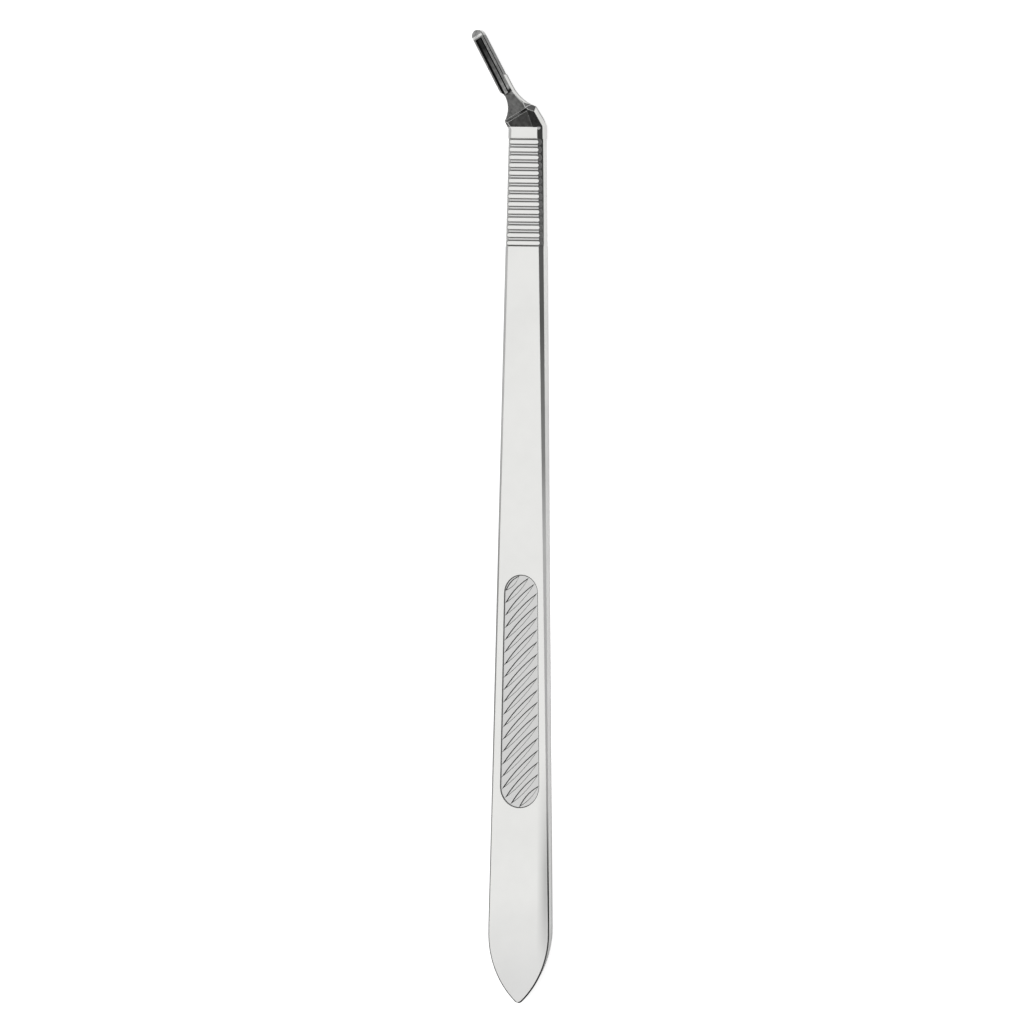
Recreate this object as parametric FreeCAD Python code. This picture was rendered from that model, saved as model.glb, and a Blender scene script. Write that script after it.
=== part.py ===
import FreeCAD, Part
import math
import os

# Long angled scalpel handle, one piece of stainless steel, in millimetres.
# The handle lies on its flat back face, z = 0. Its centre line is the Y axis, with the blade end at +Y and
# +Z out of the front face. The origin is on the back face, at the widest point, where the pointed tail begins.

# Bar: an octagonal section that narrows in width and swells in thickness from the tail to the head.
head_y = 172.3            # from the widest point to the end of the plain front face
tail_width = 14.42
head_width = 8.08
tail_thickness = 1.97
head_thickness = 3.65
tail_chamfer_width = 0.26
tail_chamfer_depth = 0.12
head_chamfer_width = 1.0
head_chamfer_depth = 0.65

# Tail: two equal flanks that meet in a slightly rounded point, whose back is bevelled thin.
flank_start_y = -2.0      # as far as the sides run straight past the widest point
flank_radius = 19.9
tip_radius = 1.2
flank_facets = 24         # flats that make up a flank
tip_facets = 6            # flats that make up half of the point
tail_bevel_start_y = -2.0
tail_bevel_full_y = -11.0
tail_bevel_width = 1.0
tail_bevel_rise = 1.4

# Grip panel: a shallow recess with long round ends, crossed by slanted flutes with pointed ends.
panel_low_y = 29.8        # centre of the wide round end
panel_high_y = 71.6       # centre of the narrow round end
panel_low_radius = 4.64
panel_high_radius = 4.0
panel_depth = 0.2
panel_slope_run = 0.2     # width of the sloping edge all round
panel_facets = 24         # flats that make up a round end
flute_first_y = 25.6      # where the first flute crosses the centre line, from which the others are spaced
flute_pitch = 2.645       # along the handle
flute_angle = 45.0        # between a flute and the X axis
flute_width = 1.1         # at its middle
flute_depth = 0.2
flute_slope_run = 0.15
flute_overlap = 0.05      # how far a flute is cut up past the floor of the panel
flute_facets = 7          # flats that make up one long side

# Thumb ribs: cross bars with rounded ends that stand in a sunk field.
rib_count = 14
rib_pitch = 1.68
rib_first_y = 147.25      # centre of the rib nearest the tail
rib_crest = 0.76
rib_shoulder = 0.96
rib_foot = 1.36
rib_round = 0.06          # height between the crest and the shoulder
rib_sink = 0.26           # depth of the field below the face
rib_overhang = 0.36       # how far a rib reaches out over the chamfer
rib_end_facets = 6        # flats that make up its round end

# Head: the bar turns aside here. Behind the shoulder the front falls away as a plain facet.
bend_angle = 30.0         # between the handle and the blade fitting
cross_y = 171.2           # where the centre line of the fitting crosses that of the handle
right_bend_y = 172.5
left_bend_y = 171.8
outer_angle = 34.0        # direction of the outer side of the head
facet_slope = 9.0
outer_chamfer_slope = 22.3
outer_chamfer_turn = 44.4  # from the Y axis towards the outer side, the way that this chamfer falls

# Neck: a sloping floor between the shoulder and the seat, with a round hollow on each side.
shoulder_y = 4.6          # foot of the shoulder, along the fitting from the crossing
shoulder_skew = -4.7
shoulder_slope = 40.0
neck_drop = 0.54          # from the facet down to the floor of the neck
outer_hollow_radius = 9.4
outer_hollow_y = 10.8     # along the fitting from the crossing
outer_relief = 0.58       # how fast the hollow widens above the seat, per millimetre of height
end_slope = 73.3          # of the wall that ends the head beside the neck
end_turn = 20.0           # from the Y axis towards the outer side, the way that this wall faces
end_side = 2.45           # where this wall begins, across the fitting from its centre line at the seat
inner_hollow_radius = 5.2
inner_hollow_y = 8.9
neck_half_width = 0.87    # what the inner hollow leaves on its side of the centre line

# Blade fitting: a tongue with a raised boss, undercut by a groove on each side for the slot of the blade.
fitting_reach = 25.2      # from the crossing to the tip
fitting_width = 2.3
seat_z = 1.98             # where the blade lies
tongue_back_z = 0.45      # the back of the tongue, as far as the grooves go
boss_height = 0.84
boss_length = 15.6
groove_length = 11.5
groove_height = 0.42
groove_depth = 0.4
trough_width = 1.6
trough_floor = 0.74
trough_depth = 0.32
trough_front = 2.1        # from the tip to the square end of the trough
tip_bevel_length = 1.3
tip_bevel_drop = 0.45

reach = 40.0              # size of cutting blocks, past every face that they cut
flat_limit = 1e-6         # largest six-fold volume of four corners that count as flat
UP = FreeCAD.Vector(0, 0, 1)
TAPER = (head_thickness - tail_thickness) / head_y
MIDDLE = FreeCAD.Vector(0, 0, tail_thickness / 2)
MIDDLE_NORMAL = FreeCAD.Vector(0, -TAPER / 2, 1)
FACE_NORMAL = FreeCAD.Vector(0, -TAPER, 1)


def vector(x, y, z=0.0):
    return FreeCAD.Vector(x, y, z)


def at_station(tail_value, head_value, y):
    """A size of the bar at a station, on a straight line between the tail and the head."""
    return tail_value + (head_value - tail_value) * y / head_y


def half_width(y):
    return at_station(tail_width, head_width, y) / 2


def thickness(y):
    return at_station(tail_thickness, head_thickness, y)


def chamfer_width(y):
    return at_station(tail_chamfer_width, head_chamfer_width, y)


def chamfer_depth(y):
    return at_station(tail_chamfer_depth, head_chamfer_depth, y)


def face_half_width(y):
    return half_width(y) - chamfer_width(y)


def closed_wire(points):
    return Part.makePolygon(points + points[:1])


def strip(a, b, c, d):
    """The face between two straight edges: flat where its four corners are, else ruled."""
    if abs((b - a).cross(d - a).dot(c - a)) < flat_limit:
        return Part.Face(closed_wire([a, b, c, d]))
    return Part.makeRuledSurface(Part.makeLine(a, b), Part.makeLine(d, c))


def skin(sections):
    """The solid through a row of outlines that have equally many corners."""
    faces = [Part.Face(closed_wire(sections[0])), Part.Face(closed_wire(sections[-1]))]
    for near, far in zip(sections, sections[1:]):
        faces += [strip(near[i - 1], near[i], far[i], far[i - 1]) for i in range(len(near))]
    shell = Part.makeShell(faces)
    shell.sewShape()
    solid = Part.Solid(shell)
    if solid.Volume < 0:
        solid.reverse()
    return solid


def prism(outline, low_z, high_z):
    """A solid over a flat outline drawn at z = 0."""
    solid = Part.Face(outline).extrude(UP * (high_z - low_z))
    solid.translate(UP * low_z)
    return solid


def block_above(point, normal):
    """A block whose underside lies on the plane through point, on the side that normal points to."""
    block = Part.makeBox(2 * reach, 2 * reach, reach, vector(-reach, -reach, 0))
    block.Placement = FreeCAD.Placement(point, FreeCAD.Rotation(UP, normal))
    return block


def above_slope(point, bearing, slope):
    """A block over a plane through point that falls towards a bearing, in degrees from +Y round to -X."""
    fall = math.tan(math.radians(slope))
    turn = math.radians(bearing)
    return block_above(point, vector(-fall * math.sin(turn), fall * math.cos(turn), 1))


def on_face(y):
    """The placement of things drawn on the front face, about a point of its centre line."""
    return FreeCAD.Placement(vector(0, y, thickness(y)), FreeCAD.Rotation(UP, FACE_NORMAL))


def turned_over(shapes):
    """The shapes for the front face and the same ones once the bar is turned over about its length."""
    copies = [shape.copy() for shape in shapes]
    for shape in copies:
        shape.rotate(MIDDLE, vector(0, 1, TAPER / 2), 180)
    return shapes + copies


# Bar and tail
right_bend = vector(half_width(right_bend_y), right_bend_y)
left_bend = vector(-half_width(left_bend_y), left_bend_y)


def bar_section(y):
    side = half_width(y)
    face = face_half_width(y)
    top = thickness(y)
    edge = chamfer_depth(y)
    right = [vector(face, y, 0), vector(side, y, edge), vector(side, y, top - edge), vector(face, y, top)]
    left = [vector(-p.x, y, p.z) for p in reversed(right)]
    return right + left


def tail_outline(inset):
    """The two flanks and the point, drawn in facets from the right of the bar round to its left."""
    centre_x = half_width(0) - flank_radius
    centre_y = flank_start_y - math.sqrt((flank_radius - tip_radius) ** 2 - centre_x ** 2)
    lean = math.atan2(centre_y - flank_start_y, -centre_x)
    flank = [lean * i / flank_facets for i in range(flank_facets + 1)]
    tip = [lean - (math.pi / 2 + lean) * i / tip_facets for i in range(1, tip_facets + 1)]
    flank_centre = vector(centre_x, flank_start_y)
    right = [vector(half_width(0) - inset, 0)]
    right += [flank_centre + vector(math.cos(a), math.sin(a)) * (flank_radius - inset) for a in flank]
    right += [vector(0, centre_y) + vector(math.cos(a), math.sin(a)) * (tip_radius - inset) for a in tip]
    left = [vector(-p.x, p.y) for p in reversed(right[:-1])]
    return right + left


def tail_bevel_share(y):
    """How much of the bevel of the back there is at a station: none at the bar, all of it at the point."""
    return min(max((tail_bevel_start_y - y) / (tail_bevel_start_y - tail_bevel_full_y), 0), 1)


def make_tail():
    """The tail, with the chamfer of the bar run on round its point and grown to a bevel on the back."""
    wide = tail_outline(0)
    narrow = tail_outline(tail_chamfer_width)
    bevelled = tail_outline(tail_bevel_width)
    edge = tail_chamfer_depth
    return skin([
        [p + (q - p) * tail_bevel_share(p.y) for p, q in zip(narrow, bevelled)],
        [p + UP * (edge + tail_bevel_rise * tail_bevel_share(p.y)) for p in wide],
        [p + UP * (thickness(p.y) - edge) for p in wide],
        [p + UP * thickness(p.y) for p in narrow],
    ])


def make_bar():
    bar = skin([bar_section(0), bar_section(right_bend_y + half_width(0))]).fuse(make_tail())
    return bar.cut(block_above(left_bend, UP.cross(right_bend - left_bend)))


# Grip panel: drawn on the face, with x across it and y along it from the middle of the panel
panel_middle_y = (panel_low_y + panel_high_y) / 2
panel_half_length = (panel_high_y - panel_low_y) / 2


def panel_outline(outset, z):
    """The hull of the two round ends, grown all round by outset."""
    lean = math.asin((panel_low_radius - panel_high_radius) / (panel_high_y - panel_low_y))
    points = []
    ends = [(panel_half_length, panel_high_radius, lean, math.pi - lean),
            (-panel_half_length, panel_low_radius, math.pi - lean, 2 * math.pi + lean)]
    for centre_y, radius, start, end in ends:
        for i in range(panel_facets + 1):
            a = start + (end - start) * i / panel_facets
            points.append(vector(0, centre_y, z) + vector(math.cos(a), math.sin(a)) * (radius + outset))
    return points


def flute_outline(near, far, outset, z):
    """A pointed oval between two ends, grown all round by outset."""
    middle = (near + far) / 2 + UP * z
    along = (far - near) / 2 * math.sqrt(1 + 2 * outset / flute_width)
    across = UP.cross(along).normalize() * (flute_width / 2 + outset)
    shares = [2 * i / flute_facets - 1 for i in range(flute_facets)]
    one_side = [along * s + across * (1 - s * s) for s in shares]
    return [middle + p for p in one_side] + [middle - p for p in one_side]


def flute(crossing_y, floor):
    """A flat-bottomed flute from edge to edge of the panel's floor."""
    slant = math.radians(flute_angle)
    centre = vector(0, crossing_y - panel_middle_y)
    run = vector(math.cos(slant), math.sin(slant)) * reach
    near, far = [v.Point for v in Part.makeLine(centre - run, centre + run).common(floor).Vertexes]
    spread = flute_slope_run * flute_overlap / flute_depth
    return skin([
        flute_outline(near, far, -flute_slope_run, -panel_depth - flute_depth),
        flute_outline(near, far, spread, flute_overlap - panel_depth),
    ])


def flute_crossings():
    """Where the flutes cross the centre line: as many of them as the floor of the panel has room for."""
    rise = 1 / math.cos(math.radians(flute_angle))
    edge = panel_slope_run + flute_width / 2
    low_y = panel_low_y - (panel_low_radius - edge) * rise
    high_y = panel_high_y + (panel_high_radius - edge) * rise
    lowest = math.ceil((low_y - flute_first_y) / flute_pitch)
    highest = math.floor((high_y - flute_first_y) / flute_pitch)
    return [flute_first_y + i * flute_pitch for i in range(lowest, highest + 1)]


def panel_cutters():
    recess = skin([
        panel_outline(-panel_slope_run, -panel_depth),
        panel_outline(panel_slope_run, panel_depth),
    ])
    floor = Part.Face(closed_wire(panel_outline(-panel_slope_run, 0)))
    cutters = [recess] + [flute(y, floor) for y in flute_crossings()]
    for cutter in cutters:
        cutter.Placement = on_face(panel_middle_y)
    return cutters


# Thumb ribs
def rib_field(bar):
    """What is taken off the bar between the ribs: the bar's own shape, sunk by rib_sink, stays."""
    first = rib_first_y - rib_foot / 2
    last = rib_first_y + (rib_count - 1) * rib_pitch + rib_foot / 2
    slope_run = (rib_foot - rib_shoulder) / 2
    low_z = thickness(first) - rib_sink
    high_z = thickness(last)
    profile = closed_wire([
        vector(-reach, first, low_z - rib_sink * 2),
        vector(-reach, first, low_z),
        vector(-reach, first - slope_run, high_z + rib_sink),
        vector(-reach, last + slope_run, high_z + rib_sink),
        vector(-reach, last, low_z),
        vector(-reach, last, low_z - rib_sink * 2),
    ])
    field = Part.Face(profile).extrude(vector(2 * reach, 0, 0))
    sunk = bar.copy()
    sunk.translate(vector(0, 0, -rib_sink))
    return field.cut(sunk)


def rib_outline(x_reach, y_half, z):
    """A flat outline across the handle, with ends rounded in facets."""
    inner = x_reach - y_half
    steps = [math.pi * (i / rib_end_facets - 0.5) for i in range(rib_end_facets + 1)]
    right = [vector(inner + y_half * math.cos(a), y_half * math.sin(a), z) for a in steps]
    left = [vector(-p.x, -p.y, z) for p in right]
    return right + left


def rib(y):
    """One cross bar, wider at its foot, with a softened crest that lies in the face of the bar."""
    end = face_half_width(y) + rib_overhang
    crest_in = (rib_shoulder - rib_crest) / 2
    rise = rib_sink - rib_round
    foot_out = (rib_foot - rib_shoulder) / 2 * (1 + rib_sink / rise)
    levels = [
        (end + foot_out, rib_shoulder / 2 + foot_out, -2 * rib_sink),
        (end, rib_shoulder / 2, -rib_round),
        (end - crest_in, rib_crest / 2, 0),
    ]
    solid = skin([rib_outline(*level) for level in levels])
    solid.Placement = on_face(y)
    return solid


def all_ribs():
    return [rib(rib_first_y + i * rib_pitch) for i in range(rib_count)]


# Head, neck and blade fitting: drawn along the fitting, with x across it and y along it from the crossing
fitting_place = FreeCAD.Placement(vector(0, cross_y), FreeCAD.Rotation(UP, bend_angle))
handle_in_fitting = fitting_place.inverse()


def line_meets_circle(start, direction, centre, radius):
    """The first point at which a line from start meets a circle."""
    direction = direction.normalize()
    back = start - centre
    b = back.dot(direction)
    return start + direction * (-b - math.sqrt(b * b - back.dot(back) + radius * radius))


def arc_about(centre, radius, start, end):
    """The short arc between two points of a circle."""
    middle = (start + end) / 2 - centre
    return Part.Arc(start, centre + middle.normalize() * radius, end).toShape()


fitting_half = fitting_width / 2
outer_lean = math.radians(outer_angle - bend_angle)
outer_direction = vector(-math.sin(outer_lean), math.cos(outer_lean))
outer_hollow = vector(fitting_half + outer_hollow_radius, outer_hollow_y)
inner_hollow = vector(-neck_half_width - inner_hollow_radius, inner_hollow_y)
outer_start = handle_in_fitting.multVec(right_bend)
inner_end = handle_in_fitting.multVec(left_bend)
outer_corner = line_meets_circle(outer_start, outer_direction, outer_hollow, outer_hollow_radius)
cusp = line_meets_circle(inner_end, vector(0, 1), inner_hollow, inner_hollow_radius)
inner_neck_y = inner_hollow_y + math.sqrt(inner_hollow_radius ** 2 - (inner_hollow.x + fitting_half) ** 2)
tip_centre_y = fitting_reach - fitting_half
boss_rear_y = fitting_reach - boss_length
groove_start_y = fitting_reach - groove_length


def tongue_outline(right_start, left_end):
    """The two sides of the tongue and its round tip, from the right to the left."""
    right = vector(fitting_half, tip_centre_y)
    left = vector(-fitting_half, tip_centre_y)
    return [
        Part.makeLine(right_start, right),
        Part.Arc(right, vector(0, fitting_reach), left).toShape(),
        Part.makeLine(left, left_end),
    ]


def head_outline():
    """Round the head, the neck and the tongue, from the right bend to the left one."""
    outer_neck = vector(fitting_half, outer_hollow_y)
    inner_neck = vector(-fitting_half, inner_neck_y)
    return Part.Wire([
        Part.makeLine(outer_start, outer_corner),
        arc_about(outer_hollow, outer_hollow_radius, outer_corner, outer_neck),
        *tongue_outline(outer_neck, inner_neck),
        arc_about(inner_hollow, inner_hollow_radius, inner_neck, cusp),
        Part.makeLine(cusp, inner_end),
        Part.makeLine(inner_end, outer_start),
    ])


def inner_chamfer():
    """The bar's left chamfer, turned round the left bend."""
    run = chamfer_width(left_bend_y) * math.cos(math.radians(bend_angle))
    slope = math.atan2(chamfer_depth(left_bend_y), run)
    point = vector(-face_half_width(left_bend_y), left_bend_y, thickness(left_bend_y))
    return above_slope(point, bend_angle + 90, math.degrees(slope))


def outer_chamfer():
    """The broad chamfer of the head's outer side, which starts where the face ends."""
    point = right_bend + UP * (thickness(right_bend_y) - chamfer_depth(right_bend_y))
    past_face = block_above(vector(0, head_y), vector(0, 1))
    return above_slope(point, -outer_chamfer_turn, outer_chamfer_slope).common(past_face)


def end_cutter():
    """What is cleared beside the neck, up to the steep wall that ends the head."""
    beside = above_slope(fitting_place.multVec(vector(end_side, 0, seat_z)), bend_angle - 90, end_slope)
    return above_slope(fitting_place.multVec(outer_corner), -end_turn, end_slope).common(beside)


def seat_cutter():
    """What is cleared for the blade: all above the seat, the floor of the neck and the shoulder."""
    foot = fitting_place.multVec(vector(0, shoulder_y))
    fall = math.tan(math.radians(facet_slope))
    foot.z = head_thickness - (foot.y - head_y) * fall - neck_drop
    neck = above_slope(foot, 0, facet_slope)
    shoulder = above_slope(foot, bend_angle + shoulder_skew, shoulder_slope)
    return block_above(vector(0, cross_y, seat_z), UP).common(neck).common(shoulder)


def back_chamfer():
    """The bar's right chamfer on the back, run on into the head until it runs out."""
    low = vector(face_half_width(right_bend_y), right_bend_y)
    edge = right_bend + UP * chamfer_depth(right_bend_y)
    along = low - vector(face_half_width(0), 0)
    return block_above(low, along.cross(edge - low))


def tongue_back():
    """The step in the back of the tongue, as long as the grooves."""
    corner = vector(-reach / 2, groove_start_y, tongue_back_z - reach)
    return Part.makeBox(reach, reach, reach, corner)


def make_boss():
    """The raised island that stands through the slot of the blade."""
    right = vector(fitting_half, boss_rear_y + fitting_half)
    left = vector(-fitting_half, boss_rear_y + fitting_half)
    rear = Part.Arc(left, vector(0, boss_rear_y), right).toShape()
    outline = Part.Wire([*tongue_outline(right, left), rear])
    boss = prism(outline, seat_z - boss_height, seat_z + boss_height)
    return boss.cut([trough(), *grooves(), tip_bevel()])


def trough():
    """A lengthwise trough in the top of the boss, square in front and open behind."""
    top_z = seat_z + boss_height
    front_y = fitting_reach - trough_front
    rear_y = boss_rear_y - fitting_half
    half_top = trough_width - trough_floor / 2
    section = closed_wire([
        vector(-half_top, front_y, top_z + trough_depth),
        vector(-trough_floor / 2, front_y, top_z - trough_depth),
        vector(trough_floor / 2, front_y, top_z - trough_depth),
        vector(half_top, front_y, top_z + trough_depth),
    ])
    return Part.Face(section).extrude(vector(0, rear_y - front_y))


def grooves():
    """The undercut on each side, open at the tip, in which the edges of the blade's slot run."""
    length = groove_length + fitting_half
    corner = vector(fitting_half - groove_depth, groove_start_y, seat_z)
    low = Part.makeBox(fitting_half, length, groove_height, corner)
    return [low, low.mirror(vector(0, 0), vector(1, 0))]


def tip_bevel():
    """The top of the tip falls away so that the blade can be lifted on."""
    top_z = seat_z + boss_height
    start = vector(0, fitting_reach - tip_bevel_length, top_z)
    return block_above(start, vector(0, tip_bevel_drop, tip_bevel_length))


def make_head():
    """The upper part is shaped by the cuts in the front, the lower one by those in the back."""
    outline = head_outline()
    relief = Part.makeCone(outer_hollow_radius, outer_hollow_radius + outer_relief * reach, reach,
                           vector(outer_hollow.x, outer_hollow.y, seat_z))
    upper = prism(outline, seat_z, 2 * head_thickness).cut(relief)
    lower = prism(outline, 0, seat_z).cut(tongue_back()).fuse(make_boss())
    upper.Placement = fitting_place
    lower.Placement = fitting_place
    face_end = vector(0, head_y, head_thickness)
    front = block_above(face_end, FACE_NORMAL)
    facet = above_slope(face_end, 0, facet_slope)
    upper = upper.cut([front, facet, inner_chamfer(), outer_chamfer(), seat_cutter(), end_cutter()])
    lower = lower.cut([inner_chamfer().mirror(MIDDLE, MIDDLE_NORMAL), back_chamfer(), end_cutter()])
    return upper.fuse(lower)


def make_handle():
    bar = make_bar()
    field = rib_field(bar)
    bar = bar.cut(turned_over([field]))
    bar = bar.fuse(turned_over(all_ribs()))
    bar = bar.cut(turned_over(panel_cutters()) + [outer_chamfer()])
    return bar.fuse(make_head()).removeSplitter()


os.makedirs("parts", exist_ok=True)
scalpel_handle = make_handle()
scalpel_handle.exportStep("parts/scalpel_handle.step")
print("solids", len(scalpel_handle.Solids), "valid", scalpel_handle.isValid())
print("volume mm3", round(scalpel_handle.Volume, 1), "faces", len(scalpel_handle.Faces))
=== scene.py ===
import math

import bpy
from mathutils import Matrix, Vector

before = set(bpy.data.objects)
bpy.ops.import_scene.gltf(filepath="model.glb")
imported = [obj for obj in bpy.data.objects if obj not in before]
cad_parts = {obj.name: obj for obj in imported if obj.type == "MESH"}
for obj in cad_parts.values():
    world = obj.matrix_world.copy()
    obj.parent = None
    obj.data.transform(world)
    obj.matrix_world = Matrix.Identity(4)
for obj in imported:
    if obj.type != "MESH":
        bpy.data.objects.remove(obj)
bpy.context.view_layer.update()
scene = bpy.context.scene

# HANDLE
# One bar of forged and milled stainless steel. The broad faces are glass-bead blasted to a fine pale satin, the
# long chamfers and sides are ground, and the head with its blade fitting is left as milled. The darker grey of
# the head and the greys along the chamfers, sides and cuts are painted reflection and shade.
MM = 0.001
HEAD_Y = 172.32      # where the plain front face of the bar ends
RIBS_Y = 140.0       # between the grip panel and the thumb ribs
CROSS_Y = 171.2      # where the centre line of the blade fitting crosses that of the handle
BEND = math.radians(30.0)
SHOULDER_BEND = math.radians(25.3)
THICKNESS = 1.97     # of the bar at its widest point, where the tail begins
TAPER = 0.00975      # growth of the thickness along the handle
SEAT_Z = 1.98        # where the blade lies
TROUGH_Z = 2.5       # floor of the trough in the boss
TROUGH_BAND = 0.06   # above and below that floor
FACE_DEPTH = 0.05    # what is less deep than this below the front face belongs to it
SUNK_DEPTH = 0.12    # what is deeper is a sunk floor
# along the blade fitting, from the crossing
HEAD_END = 7.5
BOSS_REAR = 9.5
BARE_TONGUE = 13.6   # beyond it the sides of the tongue are milled too
TIP_BEVEL = 23.4
SHOULDER_FOOT = 4.1  # along the fall of the shoulder
GLINT = (3.3, 172.2, 3.5)   # where the right chamfer ends in a painted glint
GLINT_RADIUS = 0.5
GLINT_CORE = 0.36
# how far a surface faces up or down: 0 for an upright wall, 1 for a level face
UPRIGHT = 0.25
CUT_WALL_LOW = 0.3
CHAMFER_LOW = 0.78
CHAMFER_HIGH = 0.93
LEVEL = 0.97
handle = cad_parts["scalpel_handle"]


def linear(code):
    """An sRGB hex colour as the linear colour that a socket takes."""
    parts = [int(code[i:i + 2], 16) / 255 for i in (1, 3, 5)]
    return [p / 12.92 if p <= 0.04045 else ((p + 0.055) / 1.055) ** 2.4 for p in parts] + [1.0]


def add_node(tree, kind, settings=(), values=(), links=()):
    """A node with its settings, its socket values and its incoming links."""
    node = tree.nodes.new(kind)
    for name, value in dict(settings).items():
        setattr(node, name, value)
    for name, value in dict(values).items():
        node.inputs[name].default_value = value
    for name, socket in dict(links).items():
        tree.links.new(socket, node.inputs[name])
    return node


steel = bpy.data.materials.new("satin_stainless_steel")
steel.use_nodes = True
tree = steel.node_tree
tree.nodes.clear()


def calc(operation, *terms):
    """The result of a sum on numbers and sockets."""
    numbers = {i: t for i, t in enumerate(terms) if isinstance(t, (int, float))}
    sockets = {i: t for i, t in enumerate(terms) if not isinstance(t, (int, float))}
    return add_node(tree, "ShaderNodeMath", {"operation": operation, "use_clamp": operation == "ADD"},
                    numbers, sockets).outputs[0]


def ramp(value, start, end):
    """0 at start and 1 at end, and the same beyond them. Either one may be the larger."""
    return add_node(tree, "ShaderNodeMapRange", values={"From Min": start, "From Max": end},
                    links={"Value": value}).outputs[0]


place = add_node(tree, "ShaderNodeTexCoord")
scaled = add_node(tree, "ShaderNodeVectorMath", {"operation": "SCALE"}, {"Scale": 1 / MM},
                  {0: place.outputs["Object"]})
where = add_node(tree, "ShaderNodeSeparateXYZ", links={0: scaled.outputs[0]})
facing = add_node(tree, "ShaderNodeSeparateXYZ", links={0: place.outputs["Normal"]})
x, y, z = where.outputs
nx, ny, nz = facing.outputs
steep = calc("ABSOLUTE", nz)


def along(bearing):
    """Distance from the crossing towards a bearing, in millimetres."""
    ahead = calc("MULTIPLY", calc("SUBTRACT", y, CROSS_Y), math.cos(bearing))
    return calc("SUBTRACT", ahead, calc("MULTIPLY", x, math.sin(bearing)))


station = along(BEND)
past_shoulder = along(SHOULDER_BEND)
depth = calc("SUBTRACT", calc("MULTIPLY_ADD", y, TAPER, THICKNESS), z)


def all_of(*masks):
    """Where every one of the masks holds."""
    result = masks[0]
    for mask in masks[1:]:
        result = calc("MULTIPLY", result, mask)
    return result


def over(value, limit):
    return calc("GREATER_THAN", value, limit)


def under(value, limit):
    return calc("LESS_THAN", value, limit)


# the bar: plain face, panel and rib floors, the walls cut round them, chamfers and sides
on_bar = under(y, HEAD_Y)
side_wall = under(steep, UPRIGHT)
flat = over(steep, LEVEL)
on_face = all_of(on_bar, flat, under(depth, FACE_DEPTH))
sunk = all_of(on_bar, flat, over(depth, SUNK_DEPTH))
cut_wall = all_of(on_bar, under(steep, CHAMFER_LOW), over(steep, CUT_WALL_LOW))
rib_wall = all_of(cut_wall, over(y, RIBS_Y))
chamfer = all_of(on_bar, under(steep, CHAMFER_HIGH), over(steep, CHAMFER_LOW),
                 over(calc("ABSOLUTE", nx), 0.2))
right_chamfer = all_of(chamfer, over(nx, 0.0))
left_chamfer = all_of(chamfer, under(nx, 0.0))
left_wall = all_of(side_wall, under(nx, 0.0), on_bar)

# the tail: painted shade darkens its edge and face towards the point
point_wall = all_of(under(steep, CHAMFER_HIGH), over(nx, 0.0), ramp(y, 1.0, -11.0))
tail_shade = all_of(on_face, ramp(x, 4.2, 6.2), ramp(y, 36.0, 12.0), ramp(y, -11.0, -4.0))
point_shade = all_of(on_face, ramp(y, 6.0, -14.0))

# the head and the blade fitting, as milled but for their ground sides; their greys are painted reflection and
# shade
boss_wall = all_of(over(station, BOSS_REAR), over(z, SEAT_Z - 0.01))
bare_side = calc("MAXIMUM", boss_wall, over(station, BARE_TONGUE))
milled_and_painted_dark = all_of(over(y, HEAD_Y), calc("MAXIMUM", over(steep, UPRIGHT), bare_side))
end_wall = all_of(milled_and_painted_dark, under(station, HEAD_END), over(ny, 0.75))
end_wall_foot = all_of(end_wall, ramp(z, 2.5, 2.3))
head_chamfer = all_of(milled_and_painted_dark, over(nx, 0.15), over(steep, 0.85), under(steep, 0.95),
                      under(station, HEAD_END))
from_glint = add_node(tree, "ShaderNodeVectorMath", {"operation": "DISTANCE"}, {1: GLINT},
                     {0: scaled.outputs[0]})
painted_glint = ramp(from_glint.outputs["Value"], GLINT_RADIUS, GLINT_CORE)
facet = all_of(milled_and_painted_dark, under(past_shoulder, SHOULDER_FOOT))
plain_facet = all_of(facet, over(steep, 0.95))
tip = all_of(milled_and_painted_dark, over(station, TIP_BEVEL))
in_fitting = all_of(milled_and_painted_dark, over(station, BOSS_REAR))
boss_rear = all_of(milled_and_painted_dark, over(station, BOSS_REAR - 0.9), under(station, BOSS_REAR + 1.5),
                   over(z, TROUGH_Z - TROUGH_BAND))
trough = all_of(in_fitting, over(z, TROUGH_Z - TROUGH_BAND), under(z, TROUGH_Z + TROUGH_BAND))
trough_wall = all_of(in_fitting, over(z, TROUGH_Z + 0.02), under(steep, 0.9), over(steep, UPRIGHT))

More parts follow.
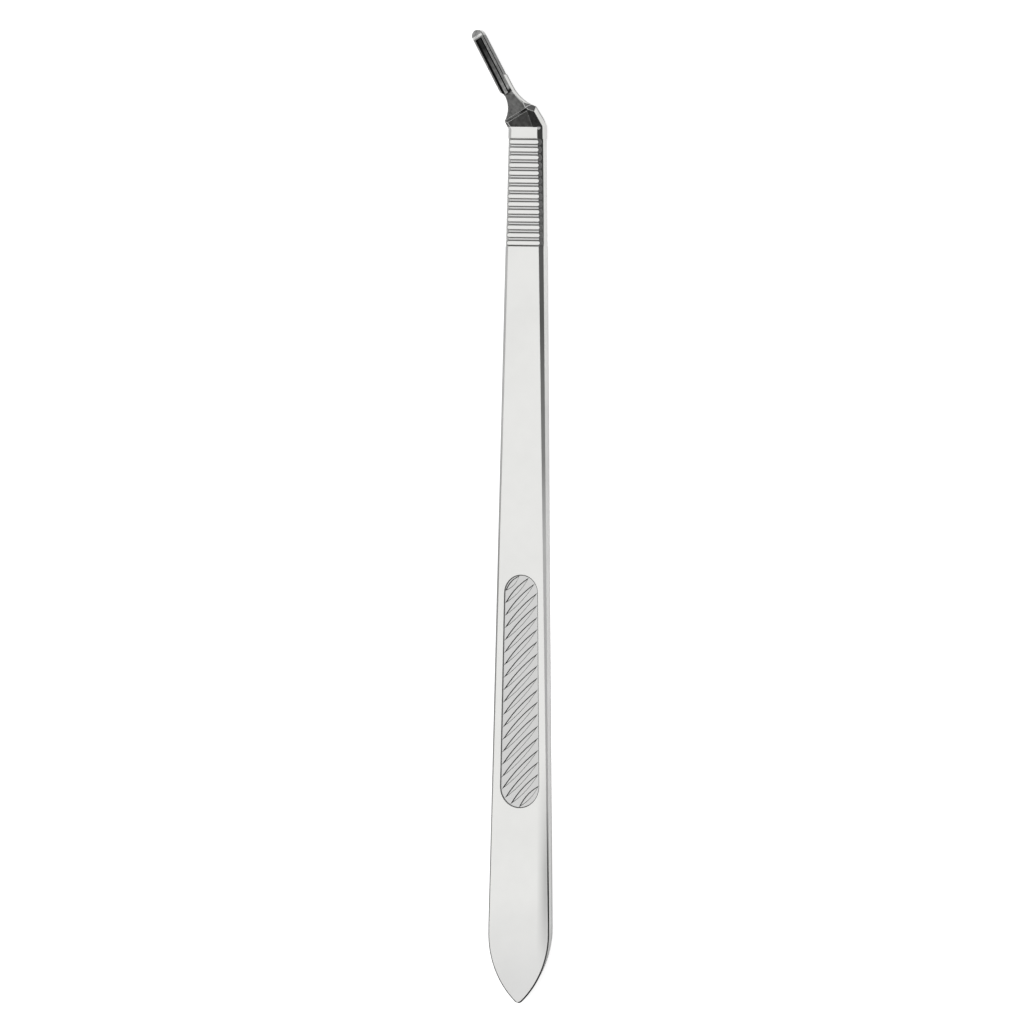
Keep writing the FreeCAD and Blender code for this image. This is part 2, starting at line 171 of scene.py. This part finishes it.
# later entries lie over earlier ones; the blasted face is the base under them all
FINISHES = [
    # where, colour
    # painted shade: the sunk floors of the panel and the ribs are a little darker than the face
    (all_of(sunk, under(y, RIBS_Y)), "#CFCFCE"),
    (all_of(sunk, over(y, RIBS_Y)), "#D2D2D1"),
    # painted shade: the walls cut round the panel, flutes and ribs are darker, darkest where they face left
    (cut_wall, "#9A9A99"),
    (all_of(cut_wall, under(nx, -0.2)), "#303030"),
    (rib_wall, "#A0A09F"),
    # painted reflection: the right chamfer darkens towards the head, carries a bright band along the grip and
    # turns dark at the tail
    (all_of(right_chamfer, ramp(y, 72.0, 130.0)), "#868685"),
    (all_of(right_chamfer, ramp(y, 150.0, 168.0)), "#5A5A59"),
    (all_of(right_chamfer, ramp(y, 20.0, 34.0), ramp(y, 100.0, 82.0)), "#FDFDFC"),
    (all_of(right_chamfer, ramp(y, 26.0, 8.0)), "#303030"),
    # painted reflection: the left chamfer is grey, darker towards the tail and lighter towards the head
    (left_chamfer, "#A6A6A5"),
    (all_of(left_chamfer, ramp(y, 20.0, 5.0)), "#787877"),
    (all_of(left_chamfer, ramp(y, 60.0, 110.0)), "#CACAC9"),
    # painted shade: the sides are a little darker towards the head and near the floor, and the left side is
    # darker all along
    (all_of(side_wall, ramp(y, 150.0, 100.0)), "#D2D2D1"),
    (all_of(side_wall, ramp(z, 0.75, 0.25)), "#969695"),
    (left_wall, "#9A9A99"),
    # painted shade: the tail's edge and face darken towards the point
    (point_wall, "#8E8E8D"),
    (all_of(point_wall, over(steep, CUT_WALL_LOW)), "#484848"),
    (tail_shade, "#BABAB9"),
    (point_shade, "#D8D8D7"),
    # painted reflection and shade: the milled head is a darker grey; its facets, trough and end wall are darker
    # still; its fitting, boss, tip and chamfer are lighter
    (milled_and_painted_dark, "#666665"),
    (facet, "#525251"),
    (plain_facet, "#484847"),
    (in_fitting, "#767675"),
    (boss_rear, "#8E8E8D"),
    (all_of(trough, ramp(station, 11.0, 21.0)), "#262626"),
    (trough_wall, "#303030"),
    (tip, "#BEBEBD"),
    (end_wall, "#4C4C4B"),
    (end_wall_foot, "#2C2C2B"),
    (head_chamfer, "#7C7C7B"),
    # painted glint: a white spot where the right chamfer ends
    (painted_glint, "#FFFFFF"),
]
colour = add_node(tree, "ShaderNodeRGB").outputs[0]
colour.default_value = linear("#E4E4E2")
for mask, code in FINISHES:
    colour = add_node(tree, "ShaderNodeMix", {"data_type": "RGBA"}, {"B": linear(code)},
                      {"Factor": mask, "A": colour}).outputs["Result"]

# the wheel leaves the milled head in fine clouds of lighter and darker grey, and the bar a little uneven
CLOUD_SIZE = 0.9
DRIFT_SIZE = 9.0
cloud = add_node(tree, "ShaderNodeTexNoise",
                 values={"Scale": 1 / (CLOUD_SIZE * MM), "Detail": 4.0, "Roughness": 0.65},
                 links={"Vector": place.outputs["Object"]})
drift = add_node(tree, "ShaderNodeTexNoise",
                 values={"Scale": 1 / (DRIFT_SIZE * MM), "Detail": 2.0, "Roughness": 0.5},
                 links={"Vector": place.outputs["Object"]})


def spread(noise, low, high):
    """The usual range of a noise, drawn out between two values."""
    return add_node(tree, "ShaderNodeMapRange",
                    values={"From Min": 0.3, "From Max": 0.7, "To Min": low, "To Max": high},
                    links={"Value": noise.outputs["Fac"]}).outputs[0]


uneven = add_node(tree, "ShaderNodeMix", {"data_type": "FLOAT"},
                  links={"Factor": milled_and_painted_dark, "A": spread(drift, 0.94, 1.06), "B": spread(cloud, 0.55, 1.45)})
colour = add_node(tree, "ShaderNodeVectorMath", {"operation": "SCALE"},
                  links={"Vector": colour, "Scale": uneven.outputs[0]}).outputs[0]

# the milled edges of the head carry a painted highlight along them, and every edge is slightly broken
BROKEN_EDGE = 0.07
HIGHLIGHT_REACH = 0.26
HIGHLIGHT_SHARE = 0.9           # how much of the bright colour shows
rounded = add_node(tree, "ShaderNodeBevel", {"samples": 8}, {"Radius": BROKEN_EDGE * MM})
highlight_bevel = add_node(tree, "ShaderNodeBevel", {"samples": 8}, {"Radius": HIGHLIGHT_REACH * MM})
true_normal = add_node(tree, "ShaderNodeNewGeometry")
turned = add_node(tree, "ShaderNodeVectorMath", {"operation": "DOT_PRODUCT"},
                  links={0: highlight_bevel.outputs["Normal"], 1: true_normal.outputs["True Normal"]})
painted_edge_highlight = all_of(ramp(turned.outputs["Value"], 0.999, 0.97), calc("SUBTRACT", milled_and_painted_dark, in_fitting))
colour = add_node(tree, "ShaderNodeMix", {"data_type": "RGBA"}, {"B": linear("#E6E6E5")},
                  {"Factor": calc("MULTIPLY", painted_edge_highlight, HIGHLIGHT_SHARE), "A": colour}).outputs["Result"]

# bead blasting leaves fine dimples and a dull sheen, and the milled head is the smoother of the two
BLASTED_ROUGHNESS = 0.36
MILLED_ROUGHNESS = 0.24
DIMPLE_SIZE = 0.12
DIMPLE_DEPTH = 0.02
grain = add_node(tree, "ShaderNodeTexNoise",
                 values={"Scale": 1 / (DIMPLE_SIZE * MM), "Detail": 2.0, "Roughness": 0.6},
                 links={"Vector": place.outputs["Object"]})
shine = add_node(tree, "ShaderNodeMapRange",
                 values={"To Min": BLASTED_ROUGHNESS, "To Max": MILLED_ROUGHNESS}, links={"Value": milled_and_painted_dark})
roughness = calc("ADD", shine.outputs[0], spread(drift, -0.03, 0.03))
dimples = add_node(tree, "ShaderNodeBump", values={"Strength": 0.06, "Distance": DIMPLE_DEPTH * MM},
                   links={"Height": grain.outputs["Fac"], "Normal": rounded.outputs["Normal"]})
surface = add_node(tree, "ShaderNodeBsdfPrincipled", values={"Metallic": 1.0},
                   links={"Base Color": colour, "Roughness": roughness, "Normal": dimples.outputs["Normal"]})
add_node(tree, "ShaderNodeOutputMaterial", links={"Surface": surface.outputs["BSDF"]})
handle.data.materials.clear()
handle.data.materials.append(steel)

# FLOOR
# A smooth sheet of white paper, under the handle and round it. It shows white to the camera and in the steel.
PAPER_SIZE = 3.0     # metres
PAPER_GAP = 0.02     # below the handle, in millimetres
PAPER_Y = 90.0       # the middle of the sheet, under the middle of the handle
CAMERA_GLOW = 0.82
GLOSSY_GLOW = 0.68
bpy.ops.object.select_all(action="DESELECT")
bpy.ops.mesh.primitive_plane_add(size=PAPER_SIZE, location=(0, PAPER_Y * MM, -PAPER_GAP * MM))
floor = bpy.context.object
floor.name = "floor"
paper = bpy.data.materials.new("white_paper")
paper.use_nodes = True
tree = paper.node_tree
tree.nodes.clear()
matt = add_node(tree, "ShaderNodeBsdfDiffuse", values={"Color": linear("#F4F4F4")})
ray = add_node(tree, "ShaderNodeLightPath")
lift = calc("MULTIPLY_ADD", ray.outputs["Is Glossy Ray"], GLOSSY_GLOW,
            calc("MULTIPLY", ray.outputs["Is Camera Ray"], CAMERA_GLOW))
glow = add_node(tree, "ShaderNodeEmission", links={"Strength": lift})
both = add_node(tree, "ShaderNodeAddShader", links={0: matt.outputs[0], 1: glow.outputs[0]})
add_node(tree, "ShaderNodeOutputMaterial", links={"Surface": both.outputs[0]})
floor.data.materials.append(paper)

# STUDIO LIGHT
# A large soft box overhead and to the left of the handle, and weaker ones above, at the right and round the
# sides, in a dim studio. Each is a patch of the world that fades out towards its edge.
STUDIO_LEVEL = 0.09
world = bpy.data.worlds.new("studio")
scene.world = world
world.use_nodes = True
tree = world.node_tree
tree.nodes.clear()
towards = add_node(tree, "ShaderNodeTexCoord")
total = add_node(tree, "ShaderNodeValue")
total.outputs[0].default_value = STUDIO_LEVEL
SOFTBOXES = [
    # direction, full within, gone beyond (degrees), strength
    ((-0.62, -0.10, 0.78), 14, 42, 1.08),
    ((-0.97, -0.15, 0.18), 20, 55, 0.27),
    ((0.97, 0.10, 0.10), 20, 55, 0.22),
    ((0.60, -0.15, 0.80), 6, 24, 0.46),
    ((-0.05, 0.05, 1.00), 5, 24, 0.34),
    ((0.10, 0.97, 0.22), 16, 45, 0.32),
    ((0.10, -0.97, 0.22), 16, 45, 0.32),
]
for direction, full, gone, strength in SOFTBOXES:
    aim = Vector(direction).normalized()
    near = add_node(tree, "ShaderNodeVectorMath", {"operation": "DOT_PRODUCT"}, {1: aim},
                    {0: towards.outputs["Generated"]})
    soft = add_node(tree, "ShaderNodeMapRange", {"interpolation_type": "SMOOTHSTEP"},
                    {"From Min": math.cos(math.radians(gone)), "From Max": math.cos(math.radians(full)),
                     "To Min": 0.0, "To Max": strength}, {"Value": near.outputs["Value"]})
    total = add_node(tree, "ShaderNodeMath", {"operation": "ADD"},
                     links={0: total.outputs[0], 1: soft.outputs[0]})
ray = add_node(tree, "ShaderNodeLightPath")
strength = add_node(tree, "ShaderNodeMix", {"data_type": "FLOAT"}, {"B": 1.0},
                    {"Factor": ray.outputs["Is Camera Ray"], "A": total.outputs[0]})
sky = add_node(tree, "ShaderNodeBackground", values={"Color": linear("#FFFFFF")},
               links={"Strength": strength.outputs[0]})
add_node(tree, "ShaderNodeOutputWorld", links={"Surface": sky.outputs[0]})
scene.view_settings.view_transform = "Standard"

# CAMERA
# Straight above the length of the handle, turned to its right side, with the handle leaning a little.
PIXEL = 0.216        # millimetres
PICTURE_WIDTH = 1024
CAMERA_DISTANCE = 0.6   # metres
CAMERA_TARGET = (-3.56, 89.11, 0)
turn = math.radians(24.5)
lean = math.radians(0.64)
back = Vector((math.sin(turn), 0, math.cos(turn)))
level = Vector((math.cos(turn), 0, -math.sin(turn)))
length = Vector((0, 1, 0))
right = level * math.cos(lean) + length * math.sin(lean)
up = length * math.cos(lean) - level * math.sin(lean)
camera_data = bpy.data.cameras.new("camera")
camera_data.type = "ORTHO"
camera_data.ortho_scale = PICTURE_WIDTH * PIXEL * MM
camera = bpy.data.objects.new("camera", camera_data)
scene.collection.objects.link(camera)
target = Vector(CAMERA_TARGET) * MM
turned_to = Matrix((right, up, back)).transposed().to_4x4()
camera.matrix_world = Matrix.Translation(target + back * CAMERA_DISTANCE) @ turned_to
scene.camera = camera
